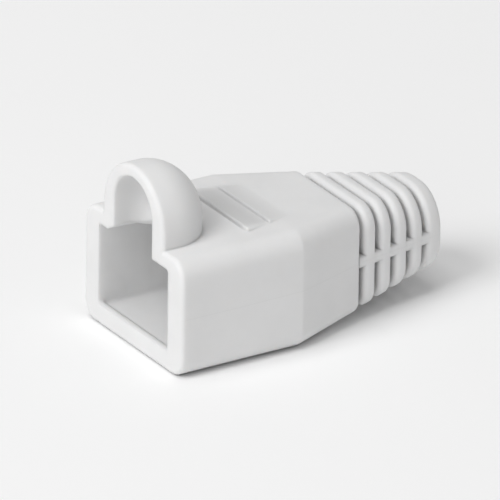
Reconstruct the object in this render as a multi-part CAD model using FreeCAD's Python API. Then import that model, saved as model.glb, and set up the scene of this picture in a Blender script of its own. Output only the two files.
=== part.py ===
import FreeCAD, Part
import math
import os

# Strain relief boot for an eight-way modular plug on a round network cable.
# It is one soft moulding: a socket that slides over the rear of the plug, a hood that guards the
# plug's latch, two low thumb steps behind the hood, and a slotted, ribbed tail round the cable.
# Millimetres. Y runs along the cable, from the mouth of the socket at Y = 0 to the end of the tail.
# Z is up and the cable's axis is the line X = 0, Z = 0.

# Plug and cable that the boot is made for
plug_width = 11.68
plug_height = 8.08
plug_clearance = 0.11
cable_diameter = 5.7
cable_clearance = 0.1

# Walls round the socket
side_wall = 2.5
floor_wall = 1.8
roof_wall = 1.45

# Lengths along the cable
body_length = 13.0
taper_length = 7.65
socket_depth = 12.0
funnel_length = 6.5

# Rear of the taper
rear_width = 11.9
rear_height = 10.35
rear_low_r = 1.4
rear_high_r = 1.8

# Rounding of the body
long_edge_r = 1.8
front_edge_r = 0.4
rear_edge_r = 0.4

# Inside of the socket
socket_corner_r = 0.35
sill_height = 0.28
sill_length = 0.6
passage_clearance = 0.2
bore_edge_r = 0.2

# Pocket over the plug's latch
pocket_offset = -0.2
pocket_half_width = 3.3
pocket_straight = 1.6
pocket_reach = 3.0
pocket_front_r = 0.12
flare_front = 1.1
flare_rear = 0.77
flare_length = 3.0
flare_behind = 0.05
flare_height = 0.5
flare_rise = 0.13

# Hood round the pocket
hood_side_wall = 1.87
hood_crown_wall = 1.13
hood_rear_wall = 1.87
hood_leg = 1.26
hood_straight = 1.8
hood_front_r = 0.4

# Thumb steps behind the hood
step_half_width = 5.2
step_narrowing = 0.6
step_gap = 2.53
step_lengths = (2.7, 2.4)
step_heights = (0.3, 0.22)
step_edge_r = 0.1
step_side_r = 0.3

# Slotted tail
ring_count = 4
ring_thickness = 1.3
slot_width = 0.6
end_ring_thickness = 1.95
tail_inset = 0.05
end_diameter = 8.3
end_low_flat = 0.6
end_high_flat = 0.2
ring_front_r = 0.5
ring_back_r = 0.22
end_edge_r = 0.9
web_height = 1.0
web_recess = 0.05

# Sizes that follow from those above
socket_width = plug_width + 2 * plug_clearance
socket_height = plug_height + 2 * plug_clearance
body_width = socket_width + 2 * side_wall
ceiling_z = socket_height / 2
floor_z = -socket_height / 2
roof_z = ceiling_z + roof_wall
base_z = floor_z - floor_wall
bore_r = cable_diameter / 2 + cable_clearance
passage_r = bore_r + passage_clearance
body_end = body_length + taper_length
tail_length = (ring_count + 1) * slot_width + ring_count * ring_thickness + end_ring_thickness
tail_end = body_end + tail_length
hood_half_width = pocket_half_width + hood_side_wall
hood_z = roof_z + hood_leg
hood_reach = pocket_straight + pocket_reach + hood_rear_wall - hood_straight
pocket_z = hood_z + hood_side_wall - hood_crown_wall
past = 1.0


def vector(x, y, z):
    return FreeCAD.Vector(x, y, z)


def line(start, end):
    return Part.LineSegment(start, end).toShape()


def arc(start, middle, end):
    return Part.Arc(start, middle, end).toShape()


def rounded_outline(y, half_width, z_low, z_high, low_r, high_r):
    """Closed outline in the plane at y, centred on X = 0, with round corners below and above."""
    most = min(0.98 * half_width, 0.49 * (z_high - z_low))
    low_r = min(low_r, most)
    high_r = min(high_r, most)
    low_x = half_width - low_r
    high_x = half_width - high_r
    low = z_low + low_r
    high = z_high - high_r
    low_turn = low_r * math.sqrt(0.5)
    high_turn = high_r * math.sqrt(0.5)
    bottom_left = vector(-low_x, y, z_low)
    bottom_right = vector(low_x, y, z_low)
    right_low = vector(half_width, y, low)
    right_high = vector(half_width, y, high)
    top_right = vector(high_x, y, z_high)
    top_left = vector(-high_x, y, z_high)
    left_high = vector(-half_width, y, high)
    left_low = vector(-half_width, y, low)
    return Part.Wire([
        line(bottom_left, bottom_right),
        arc(bottom_right, vector(low_x + low_turn, y, low - low_turn), right_low),
        line(right_low, right_high),
        arc(right_high, vector(high_x + high_turn, y, high + high_turn), top_right),
        line(top_right, top_left),
        arc(top_left, vector(-high_x - high_turn, y, high + high_turn), left_high),
        line(left_high, left_low),
        arc(left_low, vector(-low_x - low_turn, y, low - low_turn), bottom_left),
    ])


def extruded(outline, length):
    return Part.Face(outline).extrude(vector(0, length, 0))


def lofted(first, second):
    return Part.makeLoft([first, second], True, True)


def edges_in_plane(shape, y):
    """Edges of the shape that lie wholly in the plane at y."""
    found = []
    for edge in shape.Edges:
        if abs(edge.BoundBox.YMin - y) < 1e-6 and abs(edge.BoundBox.YMax - y) < 1e-6:
            found.append(edge)
    return found


def body_blank():
    """Straight box and the taper behind it, solid, with rounded front and rear edges."""
    half_width = body_width / 2
    straight = extruded(rounded_outline(0, half_width, base_z, roof_z, long_edge_r, long_edge_r), body_length)
    straight = straight.makeFillet(front_edge_r, edges_in_plane(straight, 0))
    shoulder = rounded_outline(body_length, half_width, base_z, roof_z, long_edge_r, long_edge_r)
    rear_half = rear_height / 2
    rear = rounded_outline(body_end, rear_width / 2, -rear_half, rear_half, rear_low_r, rear_high_r)
    taper = lofted(shoulder, rear)
    taper = taper.makeFillet(rear_edge_r, edges_in_plane(taper, body_end))
    return straight.fuse(taper)


def half_plan(z, front, half_width, straight, reach):
    """Half of a round-ended plan at z, right of the pocket's middle, as a face.

    front holds the edges of its front, from the middle to where the straight side starts.
    """
    centre = vector(pocket_offset, straight, z)
    side = vector(pocket_offset + half_width, straight, z)
    rear = vector(pocket_offset, straight + reach, z)
    if reach > half_width:
        oval = Part.Ellipse(rear, side, centre)
    else:
        oval = Part.Ellipse(side, rear, centre)
    quarter = Part.Arc(oval, 0, math.pi / 2).toShape()
    start = front[0].Vertexes[0].Point
    corner = front[-1].Vertexes[-1].Point
    return Part.Face(Part.Wire(front + [line(corner, side), quarter, line(rear, start)]))


def domed(plan, z_low):
    """The half plan turned up and over into a dome, on a skirt of both halves let down to z_low."""
    z = plan.BoundBox.ZMin
    dome = plan.revolve(vector(pocket_offset, 0, z), vector(0, -1, 0), 180)
    skirt = plan.extrude(vector(0, 0, z_low - z))
    other = skirt.mirror(vector(pocket_offset, 0, 0), vector(1, 0, 0))
    return dome.fuse(skirt.fuse(other)).removeSplitter()


def hood_blank():
    """Outside of the hood, with its front edge rounded."""
    turn = hood_front_r * math.sqrt(0.5)
    side_x = pocket_offset + hood_half_width
    flat_x = side_x - hood_front_r
    flat_end = vector(flat_x, 0, hood_z)
    front = [
        line(vector(pocket_offset, 0, hood_z), flat_end),
        arc(flat_end, vector(flat_x + turn, hood_front_r - turn, hood_z), vector(side_x, hood_front_r, hood_z)),
    ]
    plan = half_plan(hood_z, front, hood_half_width, hood_straight, hood_reach)
    return domed(plan, roof_z - 0.6 * roof_wall)


def pocket_void():
    """Inside of the hood, open to the front and down into the socket, its front edge rounded."""
    turn = pocket_front_r * math.sqrt(0.5)
    side_x = pocket_offset + pocket_half_width
    flare_x = side_x + pocket_front_r
    ahead = vector(flare_x, -past, pocket_z)
    mouth = vector(flare_x, 0, pocket_z)
    front = [
        line(vector(pocket_offset, -past, pocket_z), ahead),
        line(ahead, mouth),
        arc(mouth, vector(flare_x - turn, pocket_front_r - turn, pocket_z),
            vector(side_x, pocket_front_r, pocket_z)),
    ]
    plan = half_plan(pocket_z, front, pocket_half_width, pocket_straight, pocket_reach)
    return domed(plan, ceiling_z - past)


def level_outline(points, z):
    """Closed outline in the plane at z through the given places."""
    corners = []
    for x, y in points + points[:1]:
        corners.append(vector(x, y, z))
    return Part.makePolygon(corners)


def flare_void():
    """Flare of the pocket's left side and left rear corner, down to the socket's ceiling."""
    left_x = pocket_offset - pocket_half_width
    right_x = pocket_offset + 0.6 * pocket_half_width
    turn_x = pocket_offset - 0.7 * pocket_half_width
    rear_y = pocket_straight + pocket_reach
    right_y = pocket_straight + 0.6 * pocket_reach
    foot = [
        (pocket_offset, -past),
        (left_x - flare_front, -past),
        (left_x - flare_rear, flare_length),
        (turn_x, rear_y + flare_behind),
        (pocket_offset, rear_y + flare_behind),
        (right_x, right_y),
    ]
    wall = [
        (pocket_offset, -past),
        (left_x, -past),
        (left_x, pocket_straight),
        (turn_x, pocket_straight + 0.7 * pocket_reach),
        (pocket_offset, rear_y - 0.1 * pocket_reach),
        (right_x - 0.1 * pocket_half_width, right_y - 0.1 * pocket_reach),
    ]
    inside = []
    for (foot_x, foot_y), (wall_x, wall_y) in zip(foot, wall):
        x = 1.2 * wall_x - 0.2 * foot_x
        y = 1.2 * wall_y - 0.2 * foot_y
        inside.append(vector(x, y, ceiling_z + 1.2 * flare_height + flare_rise * (y + past)))
    foot_outline = level_outline(foot, ceiling_z)
    flare = lofted(foot_outline, Part.makePolygon(inside + inside[:1]))
    return flare.fuse(Part.Face(foot_outline).extrude(vector(0, 0, -past)))


def roof_height(y):
    """Height of the roof's outside at y."""
    drop = roof_z - rear_height / 2
    return roof_z - drop * max(0, y - body_length) / taper_length


def thumb_step(y, half_width, length, height):
    """Low wedge across the roof, upright in front, falling away and narrowing behind."""
    left_x = -half_width
    low_z = roof_z - roof_wall / 2
    crest_z = roof_z + height
    corners = [
        vector(left_x, y, low_z),
        vector(left_x, y, crest_z),
        vector(left_x, y + length, roof_height(y + length)),
        vector(left_x, y + length, low_z),
    ]
    face = Part.Face(Part.makePolygon(corners + corners[:1]))
    wedge = face.extrude(vector(2 * half_width, 0, 0))
    rear_half = half_width - step_narrowing
    plan = [(left_x, y), (half_width, y), (rear_half, y + length), (-rear_half, y + length)]
    wedge = wedge.common(Part.Face(level_outline(plan, low_z)).extrude(vector(0, 0, crest_z - low_z)))
    sides = []
    for edge in wedge.Edges:
        box = edge.BoundBox
        if box.YLength > length / 2 and box.ZMax > crest_z - 1e-6:
            sides.append(edge)
    wedge = wedge.makeFillet(step_side_r, sides)
    crest = []
    for edge in wedge.Edges:
        box = edge.BoundBox
        if box.YMax < y + 1e-6 and box.ZMax > crest_z - 1e-3 and box.XLength > 1e-3:
            crest.append(edge)
    return wedge.makeFillet(step_edge_r, crest)


def tail_outline(y, inset):
    """Outline of the tail at y: a rounded rectangle that turns into a circle at the end."""
    share = (y - body_end) / tail_length
    start_width = rear_width / 2 - tail_inset
    start_height = rear_height / 2 - tail_inset
    end_r = end_diameter / 2
    half_width = start_width + share * (end_r - start_width) - inset
    half_height = start_height + share * (end_r - start_height) - inset
    low_r = rear_low_r + share * (end_r - end_low_flat - rear_low_r)
    high_r = rear_high_r + share * (end_r - end_high_flat - rear_high_r)
    return rounded_outline(y, half_width, -half_height, half_height, low_r, high_r)


def tail_ring(y, thickness, front_r, back_r):
    """One ring of the tail, solid, from y on, with rounded edges."""
    ring = lofted(tail_outline(y, 0), tail_outline(y + thickness, 0))
    ring = ring.makeFillet(front_r, edges_in_plane(ring, y))
    return ring.makeFillet(back_r, edges_in_plane(ring, y + thickness))


def tail_pieces():
    """The rings, and the two webs at the sides that join them, not yet bored."""
    pitch = slot_width + ring_thickness
    front_r = min(ring_front_r, 0.46 * ring_thickness)
    back_r = min(ring_back_r, 0.46 * ring_thickness)
    pieces = []
    for number in range(ring_count):
        y = body_end + slot_width + number * pitch
        pieces.append(tail_ring(y, ring_thickness, front_r, back_r))
    end_y = tail_end - end_ring_thickness
    end_wall = end_diameter / 2 - bore_r
    pieces.append(tail_ring(end_y, end_ring_thickness, front_r, min(end_edge_r, 0.8 * end_wall)))
    front_y = body_end - past
    back_y = end_y + end_ring_thickness / 2
    core = lofted(tail_outline(body_end, web_recess), tail_outline(back_y, web_recess))
    corner = vector(-rear_width, front_y, -web_height / 2)
    slab = Part.makeBox(2 * rear_width, back_y - front_y, web_height, corner)
    pieces.append(core.common(slab))
    return pieces


def bore_void():
    """Passage through the rings and the narrower bore in the end ring, with a rounded mouth."""
    turn = bore_edge_r * math.sqrt(0.5)
    flare_r = bore_r + bore_edge_r
    seat_y = tail_end - end_ring_thickness
    places = [
        vector(0, socket_depth, 0),
        vector(passage_r, socket_depth, 0),
        vector(passage_r, seat_y, 0),
        vector(bore_r, seat_y + passage_clearance, 0),
        vector(bore_r, tail_end - bore_edge_r, 0),
    ]
    middle = vector(flare_r - turn, tail_end - bore_edge_r + turn, 0)
    mouth = vector(flare_r, tail_end, 0)
    behind = vector(flare_r, tail_end + past, 0)
    back = vector(0, tail_end + past, 0)
    edges = [line(start, end) for start, end in zip(places, places[1:])]
    edges += [arc(places[-1], middle, mouth), line(mouth, behind), line(behind, back)]
    edges.append(line(back, places[0]))
    profile = Part.Face(Part.Wire(edges))
    return profile.revolve(vector(0, 0, 0), vector(0, 1, 0), 360)


def socket_void():
    """Room for the plug behind a low sill, and the funnel that leads to the bore."""
    half_width = socket_width / 2
    mouth = rounded_outline(-past, half_width, floor_z + sill_height, ceiling_z, socket_corner_r, socket_corner_r)
    room = rounded_outline(sill_length, half_width, floor_z, ceiling_z, socket_corner_r, socket_corner_r)
    back = rounded_outline(socket_depth, half_width, floor_z, ceiling_z, socket_corner_r, socket_corner_r)
    throat = rounded_outline(socket_depth + funnel_length, bore_r, -bore_r, bore_r, bore_r, bore_r)
    void = extruded(mouth, past + sill_length)
    void = void.fuse(extruded(room, socket_depth - sill_length))
    return void.fuse(lofted(back, throat))


def boot():
    shape = body_blank().fuse(hood_blank())
    y = hood_straight + hood_reach + step_gap
    half_width = step_half_width
    for length, height in zip(step_lengths, step_heights):
        shape = shape.fuse(thumb_step(y, half_width, length, height))
        y += length
        half_width -= step_narrowing
    for piece in tail_pieces():
        shape = shape.fuse(piece)
    for void in (socket_void(), bore_void(), pocket_void(), flare_void()):
        shape = shape.cut(void)
    return shape.removeSplitter()


os.makedirs("parts", exist_ok=True)
model = boot()
print("solids", len(model.Solids), "valid", model.isValid(), "faces", len(model.Faces))
print("size", model.BoundBox)
model.exportStep("parts/boot.step")
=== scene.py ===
# %% [markdown]
# # Strain relief boot for a modular plug
# One soft moulding. The CAD solid is the shape; this script gives it the matt, slightly
# translucent PVC of the real boot, a soft studio and the photograph's camera.
# Everything is in metres, in the part's own frame: Y along the cable, Z up, the cable's axis at X = Z = 0.

# %% load the frame
import math

import bpy
from mathutils import Matrix, Vector


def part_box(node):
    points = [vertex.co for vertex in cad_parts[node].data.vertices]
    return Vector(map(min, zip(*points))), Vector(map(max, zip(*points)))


MM = 0.001

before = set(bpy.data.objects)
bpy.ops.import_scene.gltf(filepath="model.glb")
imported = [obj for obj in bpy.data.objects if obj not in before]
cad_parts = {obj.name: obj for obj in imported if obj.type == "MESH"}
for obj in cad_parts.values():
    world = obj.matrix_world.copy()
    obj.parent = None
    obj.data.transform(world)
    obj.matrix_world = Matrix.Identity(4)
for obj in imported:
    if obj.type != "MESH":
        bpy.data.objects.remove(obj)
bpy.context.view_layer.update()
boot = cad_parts["boot"]
low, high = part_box("boot")
print("frame loaded:", len(boot.data.polygons), "faces, box", [round(v / MM, 2) for v in (*low, *high)], "mm")

# %% [markdown]
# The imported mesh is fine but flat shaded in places. Its shading is smooth wherever two faces
# meet at a small angle, so the rounded edges read as round and the thumb steps stay crisp.

# %% smooth shading
CREASE_ANGLE = math.radians(17.6)

for polygon in boot.data.polygons:
    polygon.use_smooth = True
boot.data.set_sharp_from_angle(angle=CREASE_ANGLE)
print("smooth shading up to", round(math.degrees(CREASE_ANGLE), 1), "degrees")

# %% [markdown]
# ## Helpers for node groups
# A shared effect is a node group that takes plain numbers and gives back a colour, a mask or a height.

# %% node helpers


def new_group(name, inputs, outputs):
    """Empty shader node group with named sockets: its tree, its input node and its output node."""
    tree = bpy.data.node_groups.new(name, "ShaderNodeTree")
    for socket, kind, value in inputs:
        item = tree.interface.new_socket(name=socket, in_out="INPUT", socket_type=kind)
        if value is not None:
            item.default_value = value
    for socket, kind in outputs:
        tree.interface.new_socket(name=socket, in_out="OUTPUT", socket_type=kind)
    return tree, tree.nodes.new("NodeGroupInput"), tree.nodes.new("NodeGroupOutput")


def place_group(tree, group, vector):
    """Puts a shared group into a material and hands it the place on the boot."""
    node = tree.nodes.new("ShaderNodeGroup")
    node.node_tree = group
    tree.links.new(vector, node.inputs["Vector"])
    return node


def split_xyz(tree, vector):
    node = tree.nodes.new("ShaderNodeSeparateXYZ")
    tree.links.new(vector, node.inputs[0])
    return node.outputs


def noise(tree, vector, scale, detail=3.0):
    """Soft noise between 0 and 1; scale is how many swells fit in a metre."""
    node = tree.nodes.new("ShaderNodeTexNoise")
    node.inputs["Scale"].default_value = scale
    node.inputs["Detail"].default_value = detail
    node.inputs["Roughness"].default_value = 0.55
    tree.links.new(vector, node.inputs["Vector"])
    return node.outputs["Fac"]


def math_node(tree, operation, first, second=None, third=None):
    """Math node whose operands are sockets or plain numbers."""
    node = tree.nodes.new("ShaderNodeMath")
    node.operation = operation
    for place, value in enumerate((first, second, third)):
        if value is None:
            continue
        if isinstance(value, (int, float)):
            node.inputs[place].default_value = value
        else:
            tree.links.new(value, node.inputs[place])
    return node.outputs[0]


def map_range(tree, value, from_low, from_high, to_low, to_high, smooth=False):
    """Moves a value from one range to another, straight or with an eased start and end."""
    node = tree.nodes.new("ShaderNodeMapRange")
    if smooth:
        node.interpolation_type = "SMOOTHSTEP"
    tree.links.new(value, node.inputs["Value"])
    node.inputs["From Min"].default_value = from_low
    node.inputs["From Max"].default_value = from_high
    node.inputs["To Min"].default_value = to_low
    node.inputs["To Max"].default_value = to_high
    return node.outputs["Result"]


def grey(level):
    return (level, level, level, 1.0)


def mix_color(tree, factor, base, other):
    """Goes from the base colour to the other one with the factor; each is a socket or a plain colour."""
    node = tree.nodes.new("ShaderNodeMix")
    node.data_type = "RGBA"
    tree.links.new(factor, node.inputs["Factor"])
    for socket, colour in (("A", base), ("B", other)):
        if isinstance(colour, tuple):
            node.inputs[socket].default_value = colour
        else:
            tree.links.new(colour, node.inputs[socket])
    return node.outputs["Result"]


print("node helpers ready")

# %% [markdown]
# ## Fine grain
# Soft PVC from a spark-eroded mould has a very fine matt grain, about 0.1 mm across, over a
# slight waviness of a millimetre or two. The group gives both as one height.

# %% grain group
PIT_SCALE = 9000.0
SWELL_SCALE = 700.0
SWELL_SHARE = 1.6


def make_grain():
    tree, given, result = new_group(
        "fine mould grain",
        [("Vector", "NodeSocketVector", None)],
        [("Height", "NodeSocketFloat")],
    )
    vector = given.outputs["Vector"]
    pits = noise(tree, vector, PIT_SCALE, detail=2.0)
    swell = noise(tree, vector, SWELL_SCALE, detail=1.0)
    height = math_node(tree, "MULTIPLY_ADD", swell, SWELL_SHARE, pits)
    tree.links.new(height, result.inputs["Height"])
    return tree


GRAIN = make_grain()
print("made group:", GRAIN.name)

# %% [markdown]
# ## Parting line
# The two halves of the mould meet in the plane of the cable's axis. They leave a hairline along
# the outer sides, seen in the photograph half way up the right side. The mask is 1 on the line.

# %% parting line group
PARTING_HALF_WIDTH = 0.06 * MM
PARTING_WAVER = 0.05 * MM


def make_parting_line():
    tree, given, result = new_group(
        "parting line",
        [("Vector", "NodeSocketVector", None), ("Half width", "NodeSocketFloat", PARTING_HALF_WIDTH)],
        [("Mask", "NodeSocketFloat")],
    )
    place = split_xyz(tree, given.outputs["Vector"])
    normal = tree.nodes.new("ShaderNodeNewGeometry")
    facing = split_xyz(tree, normal.outputs["Normal"])
    # X times the normal's X is large only on the outer sides, and negative on the inner walls
    outward = math_node(tree, "MULTIPLY", place["X"], facing["X"])
    outside = map_range(tree, outward, 2.5 * MM, 3.5 * MM, 0.0, 1.0)
    drift = noise(tree, given.outputs["Vector"], 260.0)
    waver = map_range(tree, drift, 0.0, 1.0, -PARTING_WAVER, PARTING_WAVER)
    height = math_node(tree, "ABSOLUTE", math_node(tree, "ADD", place["Z"], waver))
    share = math_node(tree, "DIVIDE", height, given.outputs["Half width"])
    line = map_range(tree, share, 0.0, 1.0, 1.0, 0.0, smooth=True)
    tree.links.new(math_node(tree, "MULTIPLY", line, outside), result.inputs["Mask"])
    return tree


PARTING = make_parting_line()
print("made group:", PARTING.name)

# %% [markdown]
# ## Thumb step painted shade
# This is painted shade: the two thumb steps behind the hood are darkened towards a mid grey,
# standing for the shade of their backward slope and of the hood's shadow. It doesn't show
# whether that is a coarser finish or only their slope, so this tone is a guess. The mask is
# strongest on the first step and on both low risers, weaker on the second step, and fades out
# at their sides. It follows the place on the boot, so it stays put from every side.

# %% thumb step group
# the risers and the steps' half width have the same sizes as in the part's source
RISERS = (9.0 * MM, 11.7 * MM)
STEP_HALF_WIDTH = 5.2 * MM
STEPS_FADED = 14.4 * MM
STEP_SHADE_STRENGTH = 0.75


def make_step_shade():
    tree, given, result = new_group(
        "thumb step painted shade",
        [("Vector", "NodeSocketVector", None)],
        [("Mask", "NodeSocketFloat")],
    )
    place = split_xyz(tree, given.outputs["Vector"])
    across = math_node(tree, "ABSOLUTE", place["X"])
    sides = map_range(tree, across, 3.6 * MM, STEP_HALF_WIDTH, 1.0, 0.0, smooth=True)
    on_roof = map_range(tree, place["Z"], 5.4 * MM, 5.6 * MM, 0.0, 1.0)
    start = map_range(tree, place["Y"], RISERS[0] + 0.05 * MM, RISERS[0] + 0.2 * MM, 0.0, 1.0)
    fade = map_range(tree, place["Y"], 10.6 * MM, STEPS_FADED, 1.0, 0.0)
    strength = math_node(tree, "MULTIPLY", math_node(tree, "MULTIPLY", start, fade), STEP_SHADE_STRENGTH)
    for riser in RISERS:
        off = math_node(tree, "ABSOLUTE", math_node(tree, "SUBTRACT", place["Y"], riser))
        band = map_range(tree, off, 0.12 * MM, 0.2 * MM, 1.0, 0.0)
        strength = math_node(tree, "MAXIMUM", strength, band)
    area = math_node(tree, "MULTIPLY", sides, on_roof)
    tree.links.new(math_node(tree, "MULTIPLY", area, strength), result.inputs["Mask"])
    return tree


STEP_SHADE = make_step_shade()
print("made group:", STEP_SHADE.name)

# %% [markdown]
# ## Tone and painted shade
# The colour is a pale neutral grey-white that drifts by a few percent over the moulding. In tight
# corners, and more so in the tail's slots, painted shade deepens it to a mid grey, so the slots
# read darker than this studio's light alone makes them.

# %% tone and painted shade group
TAIL_START = 20.6 * MM
CROWDING_REACH = 0.8 * MM


def make_tone_and_shade():
    tree, given, result = new_group(
        "moulded colour and painted shade",
        [
            ("Vector", "NodeSocketVector", None),
            ("Pale", "NodeSocketColor", grey(0.80)),
            ("Deep", "NodeSocketColor", grey(0.77)),
            # painted shade: the mid grey laid into tight corners and the tail's slots
            ("Painted shade", "NodeSocketColor", grey(0.34)),
        ],
        [("Color", "NodeSocketColor")],
    )
    vector = given.outputs["Vector"]
    cloud = map_range(tree, noise(tree, vector, 160.0, detail=4.0), 0.3, 0.7, 0.0, 1.0, smooth=True)
    drift = mix_color(tree, cloud, given.outputs["Pale"], given.outputs["Deep"])
    crowding = tree.nodes.new("ShaderNodeAmbientOcclusion")
    crowding.inputs["Distance"].default_value = CROWDING_REACH
    crowding.samples = 8
    openness = crowding.outputs["AO"]
    # painted shade in tight corners, where little light reaches
    corners = map_range(tree, openness, 0.12, 0.48, 0.9, 0.0)
    length = split_xyz(tree, vector)["Y"]
    tail = map_range(tree, length, TAIL_START - 0.1 * MM, TAIL_START + 0.1 * MM, 0.0, 1.0)
    # deeper painted shade in the tail's slots
    slots = math_node(tree, "MULTIPLY", tail, map_range(tree, openness, 0.15, 0.68, 1.0, 0.0))
    painted_shade = math_node(tree, "MAXIMUM", corners, slots)
    tree.links.new(mix_color(tree, painted_shade, drift, given.outputs["Painted shade"]), result.inputs["Color"])
    return tree


TONE_AND_SHADE = make_tone_and_shade()
print("made group:", TONE_AND_SHADE.name)

# %% [markdown]
# ## Soft PVC
# The groups meet in one material: matt, with a broad dull sheen and a little light passing under
# the surface, which softens the hood's rim. A bevel in the shading alone, which changes no shape,
# makes the moulded edges look a little softer than the solid's own small rounds.

# %% material
# grey of the painted shade on the thumb steps
STEP_SHADE_GREY = 0.60
PARTING_GREY = 0.70
PARTING_SHARE = 0.35
EASED_RADIUS = 0.45 * MM


def make_soft_pvc():
    material = bpy.data.materials.new("soft_pvc")
    material.use_nodes = True
    tree = material.node_tree
    shader = tree.nodes["Principled BSDF"]
    shader.inputs["Specular IOR Level"].default_value = 0.35
    shader.inputs["Subsurface Weight"].default_value = 0.4
    shader.inputs["Subsurface Radius"].default_value = (1.0, 0.95, 0.9)
    shader.inputs["Subsurface Scale"].default_value = 1.2 * MM
    place = tree.nodes.new("ShaderNodeTexCoord").outputs["Object"]

    tone_and_shade = place_group(tree, TONE_AND_SHADE, place)
    step_shade = place_group(tree, STEP_SHADE, place)
    parting = place_group(tree, PARTING, place)
    # painted shade: the thumb steps and their risers are darkened towards a mid grey
    step_shaded = mix_color(tree, step_shade.outputs["Mask"], tone_and_shade.outputs["Color"], grey(STEP_SHADE_GREY))
    faint = math_node(tree, "MULTIPLY", parting.outputs["Mask"], PARTING_SHARE)
    lined = mix_color(tree, faint, step_shaded, grey(PARTING_GREY))
    tree.links.new(lined, shader.inputs["Base Color"])

    dull = noise(tree, place, 420.0, detail=3.0)
    tree.links.new(map_range(tree, dull, 0.25, 0.75, 0.50, 0.60), shader.inputs["Roughness"])

    grain = place_group(tree, GRAIN, place)
    ridge = math_node(tree, "MULTIPLY_ADD", parting.outputs["Mask"], 1.5, grain.outputs["Height"])
    eased = tree.nodes.new("ShaderNodeBevel")
    eased.samples = 6
    eased.inputs["Radius"].default_value = EASED_RADIUS
    bump = tree.nodes.new("ShaderNodeBump")
    tree.links.new(eased.outputs["Normal"], bump.inputs["Normal"])
    bump.inputs["Strength"].default_value = 0.25
    bump.inputs["Distance"].default_value = 0.02 * MM
    tree.links.new(ridge, bump.inputs["Height"])
    tree.links.new(bump.outputs["Normal"], shader.inputs["Normal"])
    return material


boot.data.materials.clear()
boot.data.materials.append(make_soft_pvc())
print("material on boot:", boot.data.materials[0].name)

# %% [markdown]
# ## Floor
# A plain pale table top, level with the boot's flat underside.

# %% floor
FLOOR_REACH = 3.0
FLOOR_GAP = 0.02 * MM


def make_floor():
    corners = [(x * FLOOR_REACH, y * FLOOR_REACH, 0) for x, y in ((-1, -1), (1, -1), (1, 1), (-1, 1))]
    mesh = bpy.data.meshes.new("floor")
    mesh.from_pydata(corners, [], [(0, 1, 2, 3)])
    floor = bpy.data.objects.new("floor", mesh)
    bpy.context.scene.collection.objects.link(floor)
    floor.location.z = low.z - FLOOR_GAP

    material = bpy.data.materials.new("pale_floor")
    material.use_nodes = True
    tree = material.node_tree
    shader = tree.nodes["Principled BSDF"]
    shader.inputs["Roughness"].default_value = 0.9
    shader.inputs["Specular IOR Level"].default_value = 0.1
    place = tree.nodes.new("ShaderNodeTexCoord").outputs["Object"]
    tint = mix_color(tree, noise(tree, place, 12.0), grey(0.955), grey(0.975))
    tree.links.new(tint, shader.inputs["Base Color"])
    mesh.materials.append(material)
    return floor


floor = make_floor()
print("floor at Z =", round(floor.location.z / MM, 2), "mm")

# %% [markdown]
# ## Camera
# Azimuth, elevation, roll, distance and scale were fitted to the corners and outline of the
# boot in the photograph. A long lens far away gives its weak perspective.

# %% camera
AZIMUTH = math.radians(57.75)
ELEVATION = math.radians(24.71)
ROLL = math.radians(0.80)
DISTANCE = 1.7047
PIXELS_PER_MM = 10.953
PHOTO_WIDTH = 500
AIM = Vector((-1.192, 13.273, 0.248)) * MM


def make_camera():
    back = Vector((
        math.sin(AZIMUTH) * math.cos(ELEVATION),
        -math.cos(AZIMUTH) * math.cos(ELEVATION),
        math.sin(ELEVATION),
    ))
    level = Vector((math.cos(AZIMUTH), math.sin(AZIMUTH), 0.0))
    upright = back.cross(level)
    right = math.cos(ROLL) * level + math.sin(ROLL) * upright
    up = math.cos(ROLL) * upright - math.sin(ROLL) * level
    data = bpy.data.cameras.new("photo_camera")
    data.sensor_fit = "HORIZONTAL"
    data.sensor_width = 36.0
    data.lens = data.sensor_width * PIXELS_PER_MM * (DISTANCE / MM) / PHOTO_WIDTH
    data.clip_start = 0.1
    data.clip_end = 20.0
    camera = bpy.data.objects.new("photo_camera", data)
    bpy.context.scene.collection.objects.link(camera)
    turn = Matrix((right, up, back)).transposed().to_4x4()
    camera.matrix_world = Matrix.Translation(AIM + back * DISTANCE) @ turn
    bpy.context.scene.camera = camera
    return camera


camera = make_camera()
print("camera lens", round(camera.data.lens), "mm")

# %% [markdown]
# ## Light
# A large soft box stands in front of the mouth and above it, a second hangs overhead, and a weak
# one beside the camera looks into the mouth. A pale room fills the shadows. The mouth's face is
# the brightest, then the top, then the side.

# %% lights
BOX_SIDE = 0.72
ROOM_LIGHT = 0.36
# where each box stands, seen from the boot's middle in metres, and its power in watts
SOFT_BOXES = {
    "front_box": ((0.16, -1.00, 0.96), 9.5),
    "top_box": ((0.0, -0.20, 1.40), 4.7),
    "camera_side_box": ((0.90, -1.00, 0.40), 1.8),
}


def soft_box(name, place, aim, side, power):
    data = bpy.data.lights.new(name, "AREA")
    data.shape = "RECTANGLE"
    data.size = side
    data.size_y = side
    data.energy = power
    light = bpy.data.objects.new(name, data)
    bpy.context.scene.collection.objects.link(light)
    light.location = place
    light.rotation_euler = (aim - place).to_track_quat("-Z", "Y").to_euler()
    return light


middle = (low + high) / 2
for name, (offset, power) in SOFT_BOXES.items():
    soft_box(name, middle + Vector(offset), middle, BOX_SIDE, power)

world = bpy.data.worlds.new("white_room")
world.use_nodes = True
room = world.node_tree.nodes["Background"]
room.inputs["Color"].default_value = grey(1.0)
room.inputs["Strength"].default_value = ROOM_LIGHT
bpy.context.scene.world = world
bpy.context.scene.view_settings.view_transform = "Standard"
bpy.context.scene.view_settings.look = "None"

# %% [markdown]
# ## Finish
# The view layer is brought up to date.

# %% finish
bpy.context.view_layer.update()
